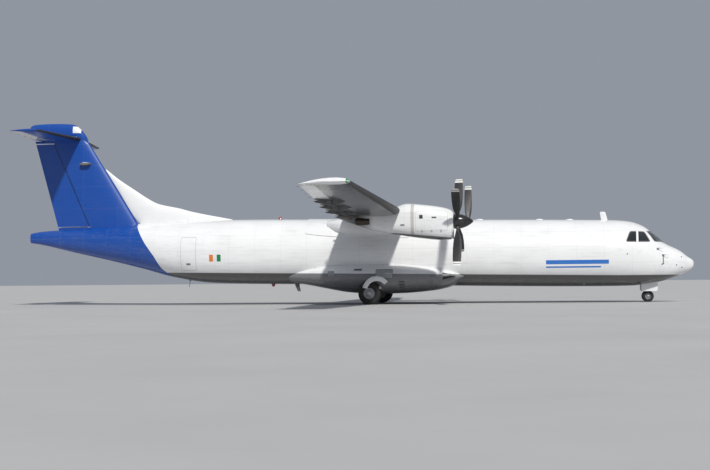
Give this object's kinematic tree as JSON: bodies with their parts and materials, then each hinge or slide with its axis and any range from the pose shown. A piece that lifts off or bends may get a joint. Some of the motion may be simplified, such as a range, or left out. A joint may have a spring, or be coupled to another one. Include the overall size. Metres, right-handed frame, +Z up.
{
  "type": "high-wing twin turboprop freighter airliner",
  "caption": "High-wing twin turboprop freighter with a T-tail, standing on its wheels, with turning propellers, opening freight and crew doors, flaps, control surfaces and a steered nose gear.",
  "frame": {"origin": "on the ground under the middle of the overall length, on the plane of symmetry", "axes": "+X towards the nose, +Y to port, +Z up"},
  "size_m": [27.166, 27.05, 7.65],
  "materials": {
    "white_metal": "gloss",
    "white_composite": "gloss",
    "blue_alloy": "gloss",
    "blue_composite": "gloss",
    "dark_glass": "gloss",
    "black_composite": "satin",
    "engine_metal": "satin",
    "leg_steel": "satin",
    "rim_metal": "satin",
    "tyre_rubber": "matte"
  },
  "bodies": {
    "airframe": {"radome": "white_composite", "cockpit_section": "white_metal", "windscreen_left": "dark_glass", "windscreen_right": "dark_glass", "side_windows_left": "dark_glass", "side_windows_right": "dark_glass", "forward_barrel": "white_metal", "centre_barrel": "white_metal", "aft_barrel": "white_metal", "tail_section": "blue_alloy", "tail_cone": "blue_composite", "service_door": "white_metal", "wing_centre": "white_metal", "wing_root_fairing": "white_composite", "wing_left": "white_metal", "wing_right": "white_metal", "fin": "blue_composite", "tailplane": "blue_composite", "fin_head_fairing": "blue_composite", "nacelle_left": "white_metal", "nacelle_right": "white_metal", "engine_left": "engine_metal", "engine_right": "engine_metal", "gear_fairing": "white_composite", "main_leg_left": "leg_steel", "main_leg_right": "leg_steel", "nose_gear_door_left": "white_composite", "nose_gear_door_right": "white_composite", "nose_leg": "leg_steel"},
    "left_propeller": {"propeller_left": "black_composite", "spinner_left": "black_composite"},
    "right_propeller": {"propeller_right": "black_composite", "spinner_right": "black_composite"},
    "left_main_wheels": {"main_tyre_inner_left": "tyre_rubber", "main_rim_inner_left": "rim_metal", "main_tyre_outer_left": "tyre_rubber", "main_rim_outer_left": "rim_metal"},
    "right_main_wheels": {"main_tyre_inner_right": "tyre_rubber", "main_rim_inner_right": "rim_metal", "main_tyre_outer_right": "tyre_rubber", "main_rim_outer_right": "rim_metal"},
    "nose_steering": {"nose_fork": "leg_steel"},
    "nose_wheels": {"nose_tyre_left": "tyre_rubber", "nose_rim_left": "rim_metal", "nose_tyre_right": "tyre_rubber", "nose_rim_right": "rim_metal"},
    "rudder_body": {"rudder": "blue_composite"},
    "left_elevator": {"elevator_left": "blue_composite"},
    "right_elevator": {"elevator_right": "blue_composite"},
    "left_aileron": {"aileron_left": "white_composite"},
    "right_aileron": {"aileron_right": "white_composite"},
    "left_inner_flap": {"inner_flap_left": "white_composite"},
    "right_inner_flap": {"inner_flap_right": "white_composite"},
    "left_outer_flap": {"outer_flap_left": "white_composite"},
    "right_outer_flap": {"outer_flap_right": "white_composite"},
    "freight_door": {"cargo_door": "white_metal"},
    "crew_door": {"passenger_door": "white_metal"}
  },
  "joints": [
    {"name": "left_propeller_spin", "type": "hinge", "parent": "airframe", "child": "left_propeller", "pos_m": [4.583, 4.05, 3.103], "axis": [1, 0, 0], "continuous": true},
    {"name": "right_propeller_spin", "type": "hinge", "parent": "airframe", "child": "right_propeller", "pos_m": [4.583, -4.05, 3.103], "axis": [1, 0, 0], "continuous": true},
    {"name": "left_main_wheels_roll", "type": "hinge", "parent": "airframe", "child": "left_main_wheels", "pos_m": [1.026, 2.05, 0.432], "axis": [0, 1, 0], "continuous": true},
    {"name": "right_main_wheels_roll", "type": "hinge", "parent": "airframe", "child": "right_main_wheels", "pos_m": [1.026, -2.05, 0.432], "axis": [0, 1, 0], "continuous": true},
    {"name": "nose_steer", "type": "hinge", "parent": "airframe", "child": "nose_steering", "pos_m": [11.796, 0, 0.5], "axis": [0, 0, 1], "range_deg": [-60, 60]},
    {"name": "nose_wheels_roll", "type": "hinge", "parent": "nose_steering", "child": "nose_wheels", "pos_m": [11.796, 0, 0.225], "axis": [0, 1, 0], "continuous": true},
    {"name": "rudder_turn", "type": "hinge", "parent": "airframe", "child": "rudder_body", "pos_m": [-10.977, 0, 3.255], "axis": [-0.4067, 0, 0.9136], "range_deg": [-28, 28]},
    {"name": "left_elevator_turn", "type": "hinge", "parent": "airframe", "child": "left_elevator", "pos_m": [-12.679, 0.47, 6.97], "axis": [-0.0195, -0.9998, 0], "range_deg": [-23, 13]},
    {"name": "right_elevator_turn", "type": "hinge", "parent": "airframe", "child": "right_elevator", "pos_m": [-12.679, -0.47, 6.97], "axis": [0.0195, -0.9998, 0], "range_deg": [-23, 13]},
    {"name": "left_aileron_turn", "type": "hinge", "parent": "airframe", "child": "left_aileron", "pos_m": [0.6198, 9.66, 3.746], "axis": [-0.0123, -0.9986, -0.051], "range_deg": [-14, 14]},
    {"name": "right_aileron_turn", "type": "hinge", "parent": "airframe", "child": "right_aileron", "pos_m": [0.6198, -9.66, 3.746], "axis": [0.0123, -0.9986, 0.051], "range_deg": [-14, 14]},
    {"name": "left_inner_flap_turn", "type": "hinge", "parent": "airframe", "child": "left_inner_flap", "pos_m": [0.6255, 1.62, 3.2532], "axis": [0, -1, 0], "range_deg": [0, 35]},
    {"name": "right_inner_flap_turn", "type": "hinge", "parent": "airframe", "child": "right_inner_flap", "pos_m": [0.6255, -1.62, 3.2532], "axis": [0, -1, 0], "range_deg": [0, 35]},
    {"name": "left_outer_flap_turn", "type": "hinge", "parent": "airframe", "child": "left_outer_flap", "pos_m": [0.626, 4.96, 3.2563], "axis": [-0.0094, -0.9987, -0.0507], "range_deg": [0, 35]},
    {"name": "right_outer_flap_turn", "type": "hinge", "parent": "airframe", "child": "right_outer_flap", "pos_m": [0.626, -4.96, 3.2563], "axis": [0.0094, -0.9987, 0.0507], "range_deg": [0, 35]},
    {"name": "freight_door_turn", "type": "hinge", "parent": "airframe", "child": "freight_door", "pos_m": [6.743, 0.9005, 2.9849], "axis": [0.9999, -0.0008, -0.0155], "range_deg": [0, 100]},
    {"name": "crew_door_turn", "type": "hinge", "parent": "airframe", "child": "crew_door", "pos_m": [-6.037, 1.1749, 1.383], "axis": [-0.9833, -0.1816, 0.0152], "range_deg": [0, 125]}
  ],
  "couplings": [
    {"joint": "right_elevator_turn", "follows": "left_elevator_turn", "ratio": 1},
    {"joint": "right_aileron_turn", "follows": "left_aileron_turn", "ratio": -1},
    {"joint": "right_inner_flap_turn", "follows": "left_inner_flap_turn", "ratio": 1},
    {"joint": "left_outer_flap_turn", "follows": "left_inner_flap_turn", "ratio": 1},
    {"joint": "right_outer_flap_turn", "follows": "left_inner_flap_turn", "ratio": 1}
  ]
}
